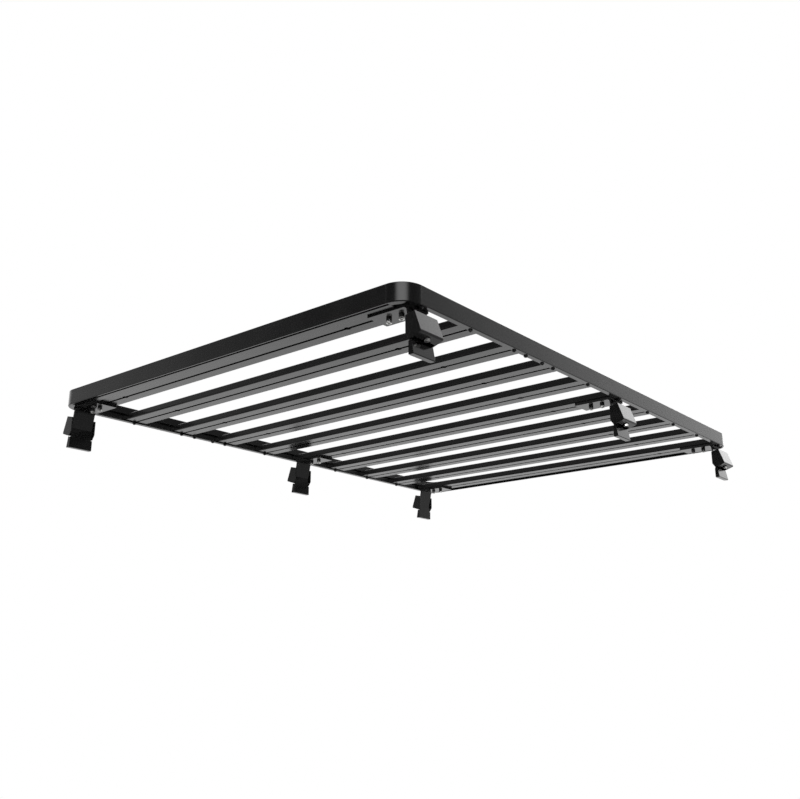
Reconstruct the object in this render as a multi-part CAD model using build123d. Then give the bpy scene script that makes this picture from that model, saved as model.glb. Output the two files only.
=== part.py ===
"""Flat platform roof rack: a low frame of extruded rails, crossed by wide slotted slats, on six legs.

Millimetres. X runs across the rack, Y along it and Z up. The soles of the feet stand on Z = 0, and the
rack's middle is on the Z axis. Each section is drawn as (out, up): out from the outer face of the rail,
negative towards the rack's middle, and up from the underside of the rail.
"""
import os
from math import atan2, cos, radians, sqrt, tan

from build123d import *

# Overall layout
rack_width = 1450.0        # over the outer faces of the two side rails
slat_count = 10
slat_pitch = 202.0
end_margin = 73.0          # end rail's outer face to the middle of the nearest slat
leg_drop = 129.0           # underside of the rails to the soles of the feet

# Perimeter rails: a channel open to the inside, with a hollow lip along its top and a flange below
rail_height = 50.0
rail_wall = 3.0
rail_top_bevel = 1.0
rail_lower_bevel = 2.0
flange_height = 3.5        # the slats lie on the flange
side_flange = 17.0
end_flange = 6.0
lip_width = 14.0
corner_radius = 60.0       # in plan, to the outer face
tongue_length = 40.0       # of the two tongues that a corner pushes into the hollow lips of its rails
tongue_fit = 0.3

# Slats: hollow extrusions with a T-slot along the top and another along the underside
slat_width = 84.0
slat_height = 21.0
slat_wall = 2.5
slat_lower_radius = 4.0
slat_upper_radius = 3.0
slot_mouth = 9.0
slot_cavity = 17.0
slot_depth = 8.5
slot_entry_diameter = 17.0  # round notch where a nut drops into the slot
slot_entry_inset = 250.0    # from the rail's outer face
slat_lip_clearance = 1.0
slat_end_clearance = 1.0

# Legs: a flange under the slat, a web that leans outward and then drops, and a thick foot
leg_width = 74.0
leg_flange_reach = 150.0
leg_flange_thickness = 8.5
leg_rail_clearance = 2.0
leg_root_radius = 9.0
web_setback = 9.5           # flange's outer end to the inner face of the web
leg_bolt_inset = 72.0
leg_bolt_spacing = 40.0
bolt_hole = 9.0
web_thickness = 5.0
web_lean = 10.0             # how far the web moves outward before its crease
crease_height = 65.0        # above the sole
foot_width = 82.0
foot_thickness = 16.0       # at the sole
foot_taper = 6.5            # how much thinner the foot is at its top
foot_edge_radius = 2.0

# Clamps: a folded bracket hung on the outside of each leg, with a cheek at each end
clamp_wall = 4.0
clamp_fit = 0.5             # from the rib on the leg to the slanted face
clamp_side_play = 2.5       # between a cheek and the edge of the web
clamp_top_drop = 23.5       # underside of the rail to the top of the slanted face
clamp_top_reach = 2.5       # how far that top stands out past the rail
clamp_fold_drop = 79.5      # underside of the rail to the lower fold
clamp_fold_reach = 22.0     # how far the lower fold stands out past the rail
clamp_floor_depth = 24.0    # from the fold to the floor's inner edge, which leaves room for a gutter's lip
clamp_floor_angle = 18.5    # degrees by which the floor falls towards the web
clamp_bolt_reach = 5.0      # how far the bolt through the floor stands out past the rail
clamp_foot_gap = 2.0        # the foot's top lies this far below the line of the floor
clamp_fold_radius = 5.0
cheek_fall = 6.5            # the cheek's top falls inward by this much
cheek_setback = 3.0         # a cheek's inner edge to the inner face of the web at its top
cheek_cut_width = 11.0      # of the cut across the cheek's lower inner corner
cheek_cut_height = 16.0
lug_thickness = 8.0         # rib on the leg that the clamp bolt screws into
lug_gap = 6.0

# Places worked out from the sizes above
half_width = rack_width / 2
half_length = end_margin + slat_pitch * (slat_count - 1) / 2
lip_bottom = flange_height + slat_height + slat_lip_clearance
slat_ys = [slat_pitch * (i - (slat_count - 1) / 2) for i in range(slat_count)]
leg_slats = {"front": 0, "middle": slat_count // 2, "rear": slat_count - 1}


def face_of(points):
    """A flat face inside a closed outline of (out, up) points."""
    return make_face(Polyline(*points, close=True))


def corner_at(face, out, up):
    """The corner of a flat face that lies nearest to (out, up)."""
    return face.vertices().sort_by_distance((out, up, 0))[0]


def lip_core(fit):
    """The outline of the hollow along the lip, made smaller all round by fit."""
    width = lip_width - 2 * (rail_wall + fit)
    height = rail_height - lip_bottom - 2 * (rail_wall + fit)
    return Pos(-lip_width / 2, (lip_bottom + rail_height) / 2) * Rectangle(width, height)


def channel_section(flange):
    """The channel of a rail or corner whose bottom flange is this wide, with a solid lip."""
    face = face_of([
        (0, 0), (-flange, 0), (-flange, flange_height), (-rail_wall, flange_height),
        (-rail_wall, lip_bottom), (-lip_width, lip_bottom), (-lip_width, rail_height), (0, rail_height),
    ])
    face = chamfer(corner_at(face, 0, 0), rail_lower_bevel)
    return chamfer([corner_at(face, out, rail_height) for out in (0, -lip_width)], rail_top_bevel)


def rail_section(flange):
    return channel_section(flange) - lip_core(0)


def right_side_rail():
    start = Plane((half_width, half_length - corner_radius, leg_drop), x_dir=(1, 0, 0), z_dir=(0, -1, 0))
    return extrude(start * rail_section(side_flange), 2 * (half_length - corner_radius))


def front_end_rail():
    start = Plane((corner_radius - half_width, -half_length, leg_drop), x_dir=(0, -1, 0), z_dir=(-1, 0, 0))
    return extrude(start * rail_section(end_flange), -2 * (half_width - corner_radius))


def front_right_corner():
    """A quarter turn of the rail's channel about an upright axis, with a tongue for each of its rails."""
    middle = (half_width - corner_radius, corner_radius - half_length, leg_drop)
    side_end = Plane((half_width, middle[1], leg_drop), x_dir=(1, 0, 0), z_dir=(0, -1, 0))
    front_end = Plane((middle[0], -half_length, leg_drop), x_dir=(0, -1, 0), z_dir=(-1, 0, 0))
    bend = revolve(side_end * channel_section(end_flange), Axis(middle, (0, 0, -1)), 90)
    side_tongue = extrude(side_end * lip_core(tongue_fit), -tongue_length)
    front_tongue = extrude(front_end * lip_core(tongue_fit), tongue_length)
    return bend + side_tongue + front_tongue


def slat_end_inset(y):
    """From the rail's outer face to the end of the slat at y, which clears the bend of the corners."""
    into_bend = max(0, abs(y) + slat_width / 2 - (half_length - corner_radius))
    bend = corner_radius - sqrt((corner_radius - rail_wall) ** 2 - into_bend ** 2)
    return bend + slat_end_clearance


def slat_section():
    """The hollow slat, with its underside on the X axis and its middle on the Y axis."""
    half = slat_width / 2
    face = Pos(0, slat_height / 2) * Rectangle(slat_width, slat_height)
    face = fillet([corner_at(face, side * half, 0) for side in (-1, 1)], slat_lower_radius)
    face = fillet([corner_at(face, side * half, slat_height) for side in (-1, 1)], slat_upper_radius)
    chamber_width = half - slot_cavity / 2 - 2 * slat_wall
    chamber_height = slat_height - 2 * slat_wall
    for side in (-1, 1):
        middle = side * (slot_cavity / 2 + slat_wall + chamber_width / 2)
        chamber = Pos(middle, slat_height / 2) * Rectangle(chamber_width, chamber_height)
        inner_radius = max(slat_lower_radius - slat_wall, slat_wall / 2)
        face -= fillet(corner_at(chamber, side * half, 0), inner_radius)
    for up, towards in ((0, 1), (slat_height, -1)):
        mouth = Pos(0, up + towards * slot_depth / 2) * Rectangle(slot_mouth, slot_depth)
        cavity_height = slot_depth - slat_wall
        cavity_middle = up + towards * (slat_wall + cavity_height / 2)
        face -= mouth + Pos(0, cavity_middle) * Rectangle(slot_cavity, cavity_height)
    return face


def slat(y):
    """The slat at y, with the two round slot entries in its underside."""
    length = rack_width - 2 * slat_end_inset(y)
    bottom = leg_drop + flange_height
    start = Plane((-length / 2, y, bottom), x_dir=(0, 1, 0), z_dir=(1, 0, 0))
    solid = extrude(start * slat_section(), length)
    for side in (-1, 1):
        entry = Cylinder(slot_entry_diameter / 2, slot_depth, align=(Align.CENTER, Align.CENTER, Align.MIN))
        solid -= Pos(side * (half_width - slot_entry_inset), y, bottom) * entry
    return solid


# The leg's flange, and the inner face of its web at the flange and below the crease
leg_flange_end = -(side_flange + leg_rail_clearance)
leg_flange_bottom = flange_height - leg_flange_thickness
web_top = leg_flange_end - web_setback
web_low = web_top + web_lean
web_crease = crease_height - leg_drop

# The clamp's slanted face
fold_top = Vector(clamp_top_reach, -clamp_top_drop)
fold = Vector(clamp_fold_reach, -clamp_fold_drop)


def floor_at(out):
    """The underside of the clamp's floor at a distance out from the rail."""
    return Vector(out, fold.Y - (fold.X - out) * tan(radians(clamp_floor_angle)))


floor_in = floor_at(clamp_fold_reach - clamp_floor_depth)


def slant_inside(up):
    """The inner surface of the clamp's slanted face at a height."""
    share = (fold_top.Y - up) / (fold_top.Y - fold.Y)
    lean = atan2(fold.X - fold_top.X, fold_top.Y - fold.Y)
    return fold_top.X + share * (fold.X - fold_top.X) - clamp_wall / cos(lean)


def leg_section():
    """Flange, leaning web, foot and the rib for the clamp bolt, in one extruded outline."""
    lug_bottom = fold.Y + clamp_wall + lug_gap
    lug_top = lug_bottom + lug_thickness
    lug_reach = slant_inside(lug_top) - clamp_fit
    web = face_of([
        (-leg_flange_reach, flange_height), (leg_flange_end, flange_height),
        (leg_flange_end, leg_flange_bottom), (web_top + web_thickness, leg_flange_bottom),
        (web_low + web_thickness, web_crease), (web_low + web_thickness, -leg_drop),
        (web_low, -leg_drop), (web_low, web_crease), (web_top, leg_flange_bottom),
        (-leg_flange_reach, leg_flange_bottom),
    ])
    web = fillet(corner_at(web, web_top, leg_flange_bottom), leg_root_radius)
    lug = face_of([
        (web_low, lug_bottom), (lug_reach, lug_bottom), (lug_reach, lug_top), (web_low, lug_top),
    ])
    return web + lug


def foot_section():
    """The foot, tapered from its sole to a top that follows the clamp's floor."""
    foot_out = web_low + foot_thickness
    gap = Vector(0, clamp_foot_gap)
    face = face_of([
        (web_low, -leg_drop), (foot_out, -leg_drop), floor_at(foot_out - foot_taper) - gap,
        floor_at(web_low) - gap,
    ])
    return fillet(face.vertices(), foot_edge_radius)


def clamp_section():
    """The slanted face and the floor, as one folded strip."""
    down = (fold - fold_top).normalized()
    inward = (floor_in - fold).normalized()
    slant_normal = Vector(down.Y, -down.X)
    floor_normal = Vector(inward.Y, -inward.X)
    inside_fold = fold + (slant_normal + floor_normal) * (clamp_wall / (1 + slant_normal.dot(floor_normal)))
    floor_edge = Vector(floor_in.X, floor_in.Y + clamp_wall / floor_normal.Y)
    strip = face_of([
        fold_top, fold, floor_in, floor_edge, inside_fold, fold_top + slant_normal * clamp_wall,
    ])
    return fillet(corner_at(strip, fold.X, fold.Y), clamp_fold_radius)


def cheek_section():
    """The end plate of a clamp, reaching in past the web, with its lower inner corner cut off."""
    cheek_in = web_top + cheek_setback
    cut_end = floor_at(cheek_in + cheek_cut_width)
    outline = face_of([
        fold_top, fold, cut_end, (cheek_in, cut_end.Y + cheek_cut_height),
        (cheek_in, fold_top.Y - cheek_fall),
    ])
    return fillet(corner_at(outline, fold.X, fold.Y), clamp_fold_radius)


# Legs and clamps are drawn across Y = 0 on the right side
leg_plane = Plane((half_width, 0, leg_drop), x_dir=(1, 0, 0), z_dir=(0, -1, 0))


def right_leg():
    solid = extrude(leg_plane * leg_section(), leg_width / 2, both=True)
    solid += extrude(leg_plane * foot_section(), foot_width / 2, both=True)
    for inset in (leg_bolt_inset, leg_bolt_inset + leg_bolt_spacing):
        middle = leg_drop + flange_height - leg_flange_thickness / 2
        solid -= Pos(half_width - inset, 0, middle) * Cylinder(bolt_hole / 2, leg_flange_thickness)
    return solid


def right_clamp():
    inner_half = leg_width / 2 + clamp_side_play
    outer_half = inner_half + clamp_wall
    solid = extrude(leg_plane * clamp_section(), outer_half, both=True)
    for start in (-outer_half, inner_half):
        cheek_plane = leg_plane.offset(start)
        solid += extrude(cheek_plane * cheek_section(), clamp_wall)
    hole_middle = (half_width + clamp_bolt_reach, 0, leg_drop + floor_at(clamp_bolt_reach).Y)
    return solid - Pos(*hole_middle) * Cylinder(bolt_hole / 2, fold.Y - floor_in.Y + 2 * clamp_wall)


def rack():
    """Every piece by name. The left and the rear pieces mirror the right and the front ones."""
    pieces = {"side_rail_right": right_side_rail(), "end_rail_front": front_end_rail()}
    pieces["side_rail_left"] = mirror(pieces["side_rail_right"], about=Plane.YZ)
    pieces["end_rail_rear"] = mirror(pieces["end_rail_front"], about=Plane.XZ)
    corner = front_right_corner()
    pieces["corner_front_right"] = corner
    pieces["corner_front_left"] = mirror(corner, about=Plane.YZ)
    pieces["corner_rear_right"] = mirror(corner, about=Plane.XZ)
    pieces["corner_rear_left"] = mirror(pieces["corner_front_left"], about=Plane.XZ)
    for number, y in enumerate(slat_ys, 1):
        pieces[f"slat_{number:02d}"] = slat(y)
    for name, make in (("leg", right_leg), ("clamp", right_clamp)):
        right = make()
        left = mirror(right, about=Plane.YZ)
        for place, index in leg_slats.items():
            pieces[f"{name}_{place}_right"] = Pos(0, slat_ys[index], 0) * right
            pieces[f"{name}_{place}_left"] = Pos(0, slat_ys[index], 0) * left
    return pieces


os.makedirs("parts", exist_ok=True)
for piece_name, piece in rack().items():
    export_step(piece, f"parts/{piece_name}.step")
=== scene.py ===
"""A flat platform roof rack, finished in satin black powder coat and seen from below, on a white ground."""
from math import cos, pi, radians, sin

import bpy
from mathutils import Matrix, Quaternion, Vector


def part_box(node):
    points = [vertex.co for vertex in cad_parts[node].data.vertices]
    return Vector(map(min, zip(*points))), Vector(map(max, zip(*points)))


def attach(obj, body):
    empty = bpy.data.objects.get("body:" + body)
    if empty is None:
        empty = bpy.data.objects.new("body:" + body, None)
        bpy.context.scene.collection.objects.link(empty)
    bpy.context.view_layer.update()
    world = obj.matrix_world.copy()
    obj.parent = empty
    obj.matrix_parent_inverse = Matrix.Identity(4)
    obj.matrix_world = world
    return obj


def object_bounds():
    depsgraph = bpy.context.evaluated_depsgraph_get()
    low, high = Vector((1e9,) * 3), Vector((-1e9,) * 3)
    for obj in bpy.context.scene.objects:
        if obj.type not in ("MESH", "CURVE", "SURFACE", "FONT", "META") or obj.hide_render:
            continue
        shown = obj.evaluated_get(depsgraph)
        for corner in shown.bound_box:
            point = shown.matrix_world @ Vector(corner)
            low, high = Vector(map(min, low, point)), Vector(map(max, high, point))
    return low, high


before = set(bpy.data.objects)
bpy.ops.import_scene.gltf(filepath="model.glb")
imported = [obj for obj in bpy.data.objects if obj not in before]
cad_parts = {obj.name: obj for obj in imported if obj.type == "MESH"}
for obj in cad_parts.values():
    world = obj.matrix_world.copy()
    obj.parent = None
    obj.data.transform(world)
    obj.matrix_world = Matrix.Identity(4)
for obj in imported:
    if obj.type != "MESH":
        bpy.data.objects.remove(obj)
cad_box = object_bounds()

# Side rails, end rails and corners
# The perimeter is an extruded aluminium channel with cast corners pushed into its ends. All of it is
# blasted, then powder coated a satin black that lies smooth on the flats and thins along the edges.


class Field:
    """A value that changes over a surface: a node's socket that takes part in Python sums."""

    def __init__(self, tree, socket=None):
        self.tree = tree
        self.socket = socket

    def node(self, kind, settings=None, sockets=None, out=0):
        """Adds a node of this kind, sets it up, fills its sockets and gives back one of its outputs."""
        made = self.tree.nodes.new(kind)
        for name, value in (settings or {}).items():
            setattr(made, name, value)
        for name, value in (sockets or {}).items():
            if isinstance(value, Field):
                self.tree.links.new(value.socket, made.inputs[name])
            else:
                made.inputs[name].default_value = value
        return Field(self.tree, made.outputs[out] if len(made.outputs) else None)

    def sum_with(self, operation, first, second):
        return self.node("ShaderNodeMath", {"operation": operation}, {0: first, 1: second})

    def __add__(self, other):
        return self.sum_with("ADD", self, other)

    def __radd__(self, other):
        return self.sum_with("ADD", other, self)

    def __sub__(self, other):
        return self.sum_with("SUBTRACT", self, other)

    def __rsub__(self, other):
        return self.sum_with("SUBTRACT", other, self)

    def __mul__(self, other):
        return self.sum_with("MULTIPLY", self, other)

    def dot(self, other):
        return self.node("ShaderNodeVectorMath", {"operation": "DOT_PRODUCT"}, {0: self, 1: other}, "Value")

    def stretched(self, factors):
        return self.node("ShaderNodeVectorMath", {"operation": "MULTIPLY"}, {0: self, 1: factors})

    def ramp(self, low, high):
        """Nought at low and one at high, with a smooth step between them."""
        sockets = {"Value": self, "From Min": low, "From Max": high}
        return self.node("ShaderNodeMapRange", {"interpolation_type": "SMOOTHSTEP"}, sockets)

    def between(self, first, second):
        """The first colour where this value is nought, the second where it is one."""
        first, second = (c if isinstance(c, Field) else (*c, 1) for c in (first, second))
        return self.node("ShaderNodeMix", {"data_type": "RGBA"}, {0: self, 6: first, 7: second}, 2)

    def noise(self, scale, detail):
        return self.node("ShaderNodeTexNoise", None, {"Vector": self, "Scale": scale, "Detail": detail})


def new_material(name):
    """An empty material, with the field that its nodes are added through."""
    material = bpy.data.materials.new(name)
    material.use_nodes = True
    material.node_tree.nodes.clear()
    return material, Field(material.node_tree)


def finish_surface(field, shader):
    field.node("ShaderNodeOutputMaterial", None, {"Surface": shader})


def powder_coat(name, thin, thick, roughness, along):
    """Black powder coat, thin and thick in colour. Along stretches the marks of the extruding die."""
    edge_round = 0.0006
    worn_colour = (0.05, 0.05, 0.048)
    peel_depth = 0.0004
    material, field = new_material(name)
    place = field.node("ShaderNodeTexCoord", None, None, "Object")
    face = field.node("ShaderNodeNewGeometry", None, None, "Normal")
    rounded = field.node("ShaderNodeBevel", {"samples": 4}, {"Radius": edge_round})
    edge = (1 - face.dot(rounded)).ramp(0.004, 0.12)
    cloud = place.noise(9.0, 3.0)
    speck = place.noise(420.0, 1.0)
    peel = place.noise(900.0, 2.0)
    die_lines = place.stretched(along).noise(1.0, 2.0)
    worn = edge * cloud.ramp(0.45, 0.75)
    coat = (cloud * 0.55 + speck * 0.45).ramp(0.3, 0.7).between(thick, thin)
    colour = (worn * 0.4).between(coat, worn_colour)
    gloss = roughness + (cloud - 0.5) * 0.10 + (die_lines - 0.5) * 0.06 + (speck - 0.5) * 0.05 - worn * 0.06
    relief = peel * 0.7 + die_lines * 0.3
    sockets = {"Strength": 0.10, "Distance": peel_depth, "Height": relief, "Normal": rounded}
    bump = field.node("ShaderNodeBump", None, sockets)
    sockets = {"Base Color": colour, "Roughness": gloss, "Normal": bump, "IOR": 1.5}
    finish_surface(field, field.node("ShaderNodeBsdfPrincipled", None, sockets))
    return material


def dress(material, start):
    """Gives the material to every CAD node whose name starts so."""
    for name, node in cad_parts.items():
        if name.startswith(start):
            node.data.materials.clear()
            node.data.materials.append(material)


rail_thin = (0.0062, 0.0062, 0.0063)
rail_thick = (0.0036, 0.0036, 0.0037)
rail_gloss = 0.20
dress(powder_coat("side_rail_coat", rail_thin, rail_thick, rail_gloss, (400, 3, 400)), "side_rail")
end_rail_coat = powder_coat("end_rail_coat", rail_thin, rail_thick, rail_gloss, (3, 400, 400))
dress(end_rail_coat, "end_rail")
dress(powder_coat("corner_coat", rail_thin, rail_thick, rail_gloss, (30, 30, 30)), "corner")

# Lower lips
# The inner part of the lower flange of the front end rail and its two corners, under the edge of the first
# slat. A groove parts it from the rail's wall. It is extruded or cast with them, and coated with them.

lip_near, lip_far = 0.0145, 0.036
lip_lift, lip_top = 0.0001, 0.0033
corner_radius = 0.060
lip_outer, lip_inner = 0.0542, 0.040
lip_steps = 12
rail_low, rail_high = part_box("side_rail_right")
front_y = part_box("end_rail_front")[0].y
lip_reach = rail_high.x - corner_radius
bend_y = front_y + corner_radius
near_y, far_y = front_y + lip_near, front_y + lip_far
lip_plans = [[(-lip_reach, near_y), (lip_reach, near_y), (lip_reach, far_y), (-lip_reach, far_y)]]
turns = [0.5 * pi * step / lip_steps for step in range(lip_steps + 1)]
arc = [(lip_outer, turn) for turn in turns] + [(lip_inner, turn) for turn in reversed(turns)]
for side in (-1, 1):
    lip_plans.append([(side * (lip_reach + r * cos(t)), bend_y - r * sin(t)) for r, t in arc])
lip_corners, lip_faces = [], []
for plan in lip_plans:
    first, count = len(lip_corners), len(plan)
    turning = sum(a[0] * b[1] - b[0] * a[1] for a, b in zip(plan, plan[1:] + plan[:1]))
    plan = plan if turning > 0 else plan[::-1]
    for up in (lip_lift, lip_top):
        lip_corners += [(x, y, rail_low.z + up) for x, y in plan]
    for index in range(count):
        after = (index + 1) % count
        lip_faces.append([first + index, first + after, first + count + after, first + count + index])
    for step in range(count // 2 - 1):
        loop = [step, step + 1, count - 2 - step, count - 1 - step]
        lip_faces.append([first + count + index for index in loop])
        lip_faces.append([first + index for index in reversed(loop)])
lip_mesh = bpy.data.meshes.new("lower_lips")
lip_mesh.from_pydata(lip_corners, [], lip_faces)
lip_mesh.materials.append(end_rail_coat)
lips = bpy.data.objects.new("lower_lips", lip_mesh)
bpy.context.scene.collection.objects.link(lips)
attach(lips, "root")

# Slats
# Ten hollow aluminium extrusions cross the rack, slotted along the top and the underside, with their ends
# on the flanges of the side rails. Their powder coat shows faint die lines along its length.

slat_thin = (0.0062, 0.0062, 0.0062)
slat_thick = (0.0036, 0.0036, 0.0036)
slat_gloss = 0.20
dress(powder_coat("slat_coat", slat_thin, slat_thick, slat_gloss, (3, 400, 400)), "slat")

# Slat bolts
# Low button heads with a hexagon socket, each on a plain washer, go up through the flange of a side rail
# into the end of a slat. They are black oxide steel. Two more a side sit 85 mm apart near the front.

socket_flats = 0.004
slat_bolt_outline = [
    (0.0064, 0, None), (0.0064, -0.0010, None), (0.0062, -0.0012, None), (0.0055, -0.0012, None),
    (0.0055, -0.0018, None), (0.0052, -0.0030, None), (0.0044, -0.0040, None), (0.0032, -0.0046, None),
    (0.0024, -0.0047, socket_flats), (0.0024, -0.0025, socket_flats),
]


def turned(outline):
    """A closed turned shape from (radius, height, flats) rings, cut to a hexagon where flats has a width."""
    sides = 24
    corners = []
    for radius, height, flats in outline:
        for side in range(sides):
            angle = 2 * pi * side / sides
            off_flat = (angle + pi / 6) % (pi / 3) - pi / 6
            reach = min(radius, flats / 2 / cos(off_flat)) if flats else radius
            corners.append((reach * cos(angle), reach * sin(angle), height))
    faces = [list(range(sides)), list(range(len(corners) - 1, len(corners) - sides - 1, -1))]
    for ring in range(len(outline) - 1):
        for side in range(sides):
            first, second = ring * sides + side, ring * sides + (side + 1) % sides
            faces.append([second, first, first + sides, second + sides])
    return corners, faces


def fasteners(name, shape, places, material):
    """The same fastener at every place, as one mesh. A place is the middle of its seat and its way up."""
    turn_step = 0.7
    sharp_from = radians(32)
    corners, faces = [], []
    for number, (seat, up) in enumerate(places):
        upright = Quaternion((0, 0, 1), turn_step * number)
        turn = Vector((0, 0, 1)).rotation_difference(Vector(up)) @ upright
        first = len(corners)
        corners += [Vector(seat) + turn @ Vector(corner) for corner in shape[0]]
        faces += [[first + index for index in face] for face in shape[1]]
    mesh = bpy.data.meshes.new(name)
    mesh.from_pydata(corners, [], faces)
    mesh.shade_smooth()
    mesh.set_sharp_from_angle(angle=sharp_from)
    mesh.materials.append(material)
    piece = bpy.data.objects.new(name, mesh)
    bpy.context.scene.collection.objects.link(piece)
    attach(piece, "root")


def bolt_metal(name, colour, marks, metallic, roughness):
    """Plated or blackened steel: marks is the colour of its handling marks."""
    edge_round = 0.0003
    grain_depth = 0.0001
    material, field = new_material(name)
    place = field.node("ShaderNodeTexCoord", None, None, "Object")
    rounded = field.node("ShaderNodeBevel", {"samples": 4}, {"Radius": edge_round})
    cloud = place.noise(160.0, 3.0)
    grain = place.noise(2600.0, 2.0)
    marked = cloud.ramp(0.4, 0.72).between(colour, marks)
    sockets = {"Strength": 0.2, "Distance": grain_depth, "Height": grain, "Normal": rounded}
    bump = field.node("ShaderNodeBump", None, sockets)
    gloss = roughness + (cloud - 0.5) * 0.2 + (grain - 0.5) * 0.1
    sockets = {"Base Color": marked, "Metallic": metallic, "Normal": bump, "Roughness": gloss}
    finish_surface(field, field.node("ShaderNodeBsdfPrincipled", None, sockets))
    return material


slat_bolt_inset = 0.0125
extra_bolt_ys = [-0.4465, -0.3615]
slat_names = [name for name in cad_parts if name.startswith("slat")]
slat_middles = [sum(corner.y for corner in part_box(name)) / 2 for name in slat_names]
bolt_ys = slat_middles + extra_bolt_ys
bolt_x = rail_high.x - slat_bolt_inset
slat_bolt_places = [((side * bolt_x, y, rail_low.z), (0, 0, 1)) for side in (-1, 1) for y in bolt_ys]
black_oxide = bolt_metal("black_oxide", (0.008, 0.008, 0.0085), (0.016, 0.016, 0.016), 0.0, 0.40)
fasteners("slat_bolts", turned(slat_bolt_outline), slat_bolt_places, black_oxide)

# Legs
# Six extruded aluminium legs hang from the first, sixth and last slats, each a flange, a leaning web and a
# foot in one piece. They are cut to length, drilled and coated after that.

leg_thin = (0.0062, 0.0062, 0.0062)
leg_thick = (0.0036, 0.0036, 0.0036)
leg_gloss = 0.11
dress(powder_coat("leg_coat", leg_thin, leg_thick, leg_gloss, (400, 3, 400)), "leg")

# Leg bolts
# Two bolts through each leg's flange hold it to the slot of its slat. Below the flange sits a zinc-plated
# nut that the end of the bolt stays short of. The black ring between flange and nut is a painted reflection:
# a dark part standing for the nut's dark side mirrored in the flange's glossy underside.

nut_flats = 0.013
# The black ring is a painted reflection of the nut in the flange. The nut hangs below it.
leg_painted_reflection_outline = [(0.0072, 0, None), (0.0072, -0.0053, None), (0.0070, -0.0056, None)]
leg_nut_outline = [
    (0.0067, -0.0056, nut_flats), (0.0075, -0.0061, nut_flats), (0.0075, -0.0115, nut_flats),
    (0.0067, -0.0120, nut_flats), (0.0047, -0.0120, None), (0.0041, -0.0114, None), (0.0041, -0.0085, None),
]
leg_bolt_insets = (0.072, 0.112)
leg_flange_drop = 0.005
leg_boxes = [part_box(name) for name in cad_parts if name.startswith("leg")]
leg_bolt_places = []
for low, high in leg_boxes:
    side = 1 if low.x > 0 else -1
    for inset in leg_bolt_insets:
        seat = (side * (rail_high.x - inset), (low.y + high.y) / 2, rail_low.z - leg_flange_drop)
        leg_bolt_places.append((seat, (0, 0, 1)))
zinc = bolt_metal("zinc", (0.96, 0.96, 0.94), (0.84, 0.84, 0.82), 1.0, 0.40)
# Colour of the ring, a painted reflection: the nut's dark side as the glossy flange would mirror it.
painted_reflection_black = bolt_metal("painted_reflection_black", (0.020, 0.020, 0.020), (0.032, 0.032, 0.032), 0.0, 0.50)
fasteners("leg_painted_reflections", turned(leg_painted_reflection_outline), leg_bolt_places, painted_reflection_black)
fasteners("leg_nuts", turned(leg_nut_outline), leg_bolt_places, zinc)

# Clamps
# A folded bracket on the outside of each leg, with a cheek at either end. The bolt through its floor pulls
# it up against the roof gutter. It is powder coated like the rest.

clamp_thin = (0.0062, 0.0062, 0.0062)
clamp_thick = (0.0036, 0.0036, 0.0036)
clamp_gloss = 0.20
dress(powder_coat("clamp_coat", clamp_thin, clamp_thick, clamp_gloss, (60, 60, 60)), "clamp")

# Clamp bolts
# One upright bolt goes through the sloping floor of each clamp into the rib of the leg. Its hexagon head
# is zinc plated and beds in a black washer that lies square to that floor.

clamp_bolt_outline = [
    (0.0066, 0.0016, nut_flats), (0.0075, 0.0011, nut_flats), (0.0075, -0.0059, nut_flats),
    (0.0067, -0.0065, nut_flats), (0.0020, -0.0065, None),
]
clamp_washer_outline = [(0.0088, 0, None), (0.0088, -0.0011, None), (0.0086, -0.0013, None)]
clamp_floor_out = 0.005
clamp_floor_drop = 0.0852
clamp_floor_tilt = radians(18.5)
clamp_bolt_places, clamp_washer_places = [], []
for low, high in leg_boxes:
    side = 1 if low.x > 0 else -1
    seat = (side * (rail_high.x + clamp_floor_out), (low.y + high.y) / 2, rail_low.z - clamp_floor_drop)
    clamp_bolt_places.append((seat, (0, 0, 1)))
    clamp_washer_places.append((seat, (-side * sin(clamp_floor_tilt), 0, cos(clamp_floor_tilt))))
fasteners("clamp_bolts", turned(clamp_bolt_outline), clamp_bolt_places, zinc)
fasteners("clamp_washers", turned(clamp_washer_outline), clamp_washer_places, black_oxide)

# Ground and light
# A pale floor just below the soles, seen from above only, a white backdrop behind and to the left, a soft
# light near the camera, one high behind and a softbox overhead.

floor_size = 14.0
floor_gap = 0.0005
floor_grey = (0.86, 0.86, 0.86, 1)
white_from, white_at = 2.5, 6.0
floor_mesh = bpy.data.meshes.new("floor")
floor_corners = [(-floor_size, -floor_size, 0), (floor_size, -floor_size, 0), (floor_size, floor_size, 0),
                 (-floor_size, floor_size, 0)]
floor_mesh.from_pydata(floor_corners, [], [(0, 1, 2, 3)])
floor = bpy.data.objects.new("floor", floor_mesh)
bpy.context.scene.collection.objects.link(floor)
floor.location.z = cad_box[0].z - floor_gap

floor_paint, field = new_material("floor_paint")
light_path = "ShaderNodeLightPath"
mirrored = field.node(light_path, None, None, "Is Glossy Ray")
through = field.node(light_path, None, None, "Is Transmission Ray")
from_below = field.node("ShaderNodeNewGeometry", None, None, "Backfacing")
place = field.node("ShaderNodeTexCoord", None, None, "Object")
distance = field.node("ShaderNodeVectorMath", {"operation": "LENGTH"}, {0: place}, "Value")
pale = field.node("ShaderNodeBsdfDiffuse", None, {"Color": floor_grey})
white = field.node("ShaderNodeEmission", None, {"Color": (1, 1, 1, 1), "Strength": 1.0})
whitened = through + distance.ramp(white_from, white_at)
lit = field.node("ShaderNodeMixShader", None, {0: whitened, 1: pale, 2: white})
clear = field.node("ShaderNodeBsdfTransparent")
finish_surface(field, field.node("ShaderNodeMixShader", None, {0: from_below + mirrored, 1: lit, 2: clear}))
floor_mesh.materials.append(floor_paint)

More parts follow.
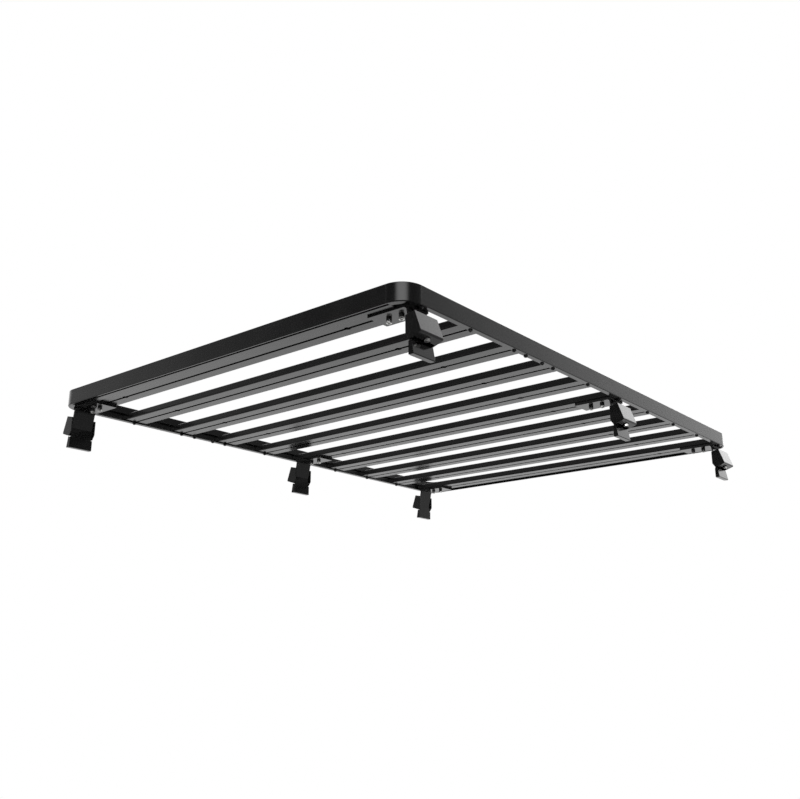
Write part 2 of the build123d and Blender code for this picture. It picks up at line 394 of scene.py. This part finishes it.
world = bpy.data.worlds.new("studio")
bpy.context.scene.world = world
world.use_nodes = True
world.node_tree.nodes.clear()
field = Field(world.node_tree)
seen = field.node(light_path, None, None, "Is Camera Ray")
through = field.node(light_path, None, None, "Is Transmission Ray")
direction = field.node("ShaderNodeTexCoord", None, None, "Generated")
height = direction.dot((0, 0, 1))


def towards(way, edge, middle):
    """A soft patch of light that lies this way. It starts at the cosine edge and is full at middle."""
    return direction.dot(way).ramp(edge, middle)


fall = height.ramp(-0.9, -0.35) * 0.62 + height.ramp(-0.2, 0.1) * 0.38
backdrop = towards((-0.68, 0.73, 0), -0.10, 0.68) * fall
glow = towards((-0.05, 0.90, 0.43), 0.90, 1.0)
aside = towards((0.86, 0.50, 0), 0.80, 0.99) * height.ramp(0.28, -0.03)
ahead = towards((-0.55, -0.83, 0), 0.86, 0.97) * height.ramp(0.36, 0.24)
overhead = height.ramp(0.45, 0.95)
key = towards((0.58, -0.74, 0.34), 0.84, 0.99)
beside = towards((0.35, 0.94, 0), 0.1, 0.9)
room_levels = [
    (backdrop, 1.28), (glow, 1.8), (aside, 0.17), (ahead, 0.26), (overhead, 0.5), (key, 3.2), (beside, 0.06),
]
room = 0.065
for light, level in room_levels:
    room = room + light * level
strength = field.node("ShaderNodeMix", {"data_type": "FLOAT"}, {0: seen + through, 2: room, 3: 1.0})
background = field.node("ShaderNodeBackground", None, {"Color": (1, 1, 1, 1), "Strength": strength})
field.node("ShaderNodeOutputWorld", None, {"Surface": background})

softbox_place = Vector((-0.4, 0.4, 3.6))
softbox_width = 3.0
softbox_radiance = 1.2
rack_middle = (cad_box[0] + cad_box[1]) / 2
lamp = bpy.data.lights.new("top_softbox", "AREA")
lamp.size = softbox_width
lamp.energy = softbox_radiance * pi * softbox_width ** 2
softbox = bpy.data.objects.new("top_softbox", lamp)
softbox.location = softbox_place
softbox.rotation_euler = (rack_middle - softbox_place).to_track_quat("-Z", "Y").to_euler()
bpy.context.scene.collection.objects.link(softbox)

camera_place = Vector((2.0121, -2.5587, -0.7194))
camera_yaw, camera_pitch, camera_roll = radians(-39.6026), radians(16.4353), radians(0.0978)
focal_length, sensor_width = 42.594, 36.0
lens = bpy.data.cameras.new("camera")
lens.sensor_width = sensor_width
lens.lens = focal_length
camera = bpy.data.objects.new("camera", lens)
level_way = Vector((sin(camera_yaw), cos(camera_yaw), 0))
forward = level_way * cos(camera_pitch) + Vector((0, 0, sin(camera_pitch)))
camera.rotation_mode = "QUATERNION"
camera.rotation_quaternion = Quaternion(forward, camera_roll) @ forward.to_track_quat("-Z", "Y")
camera.location = camera_place
bpy.context.scene.collection.objects.link(camera)
bpy.context.scene.camera = camera
bpy.context.scene.view_settings.view_transform = "Standard"
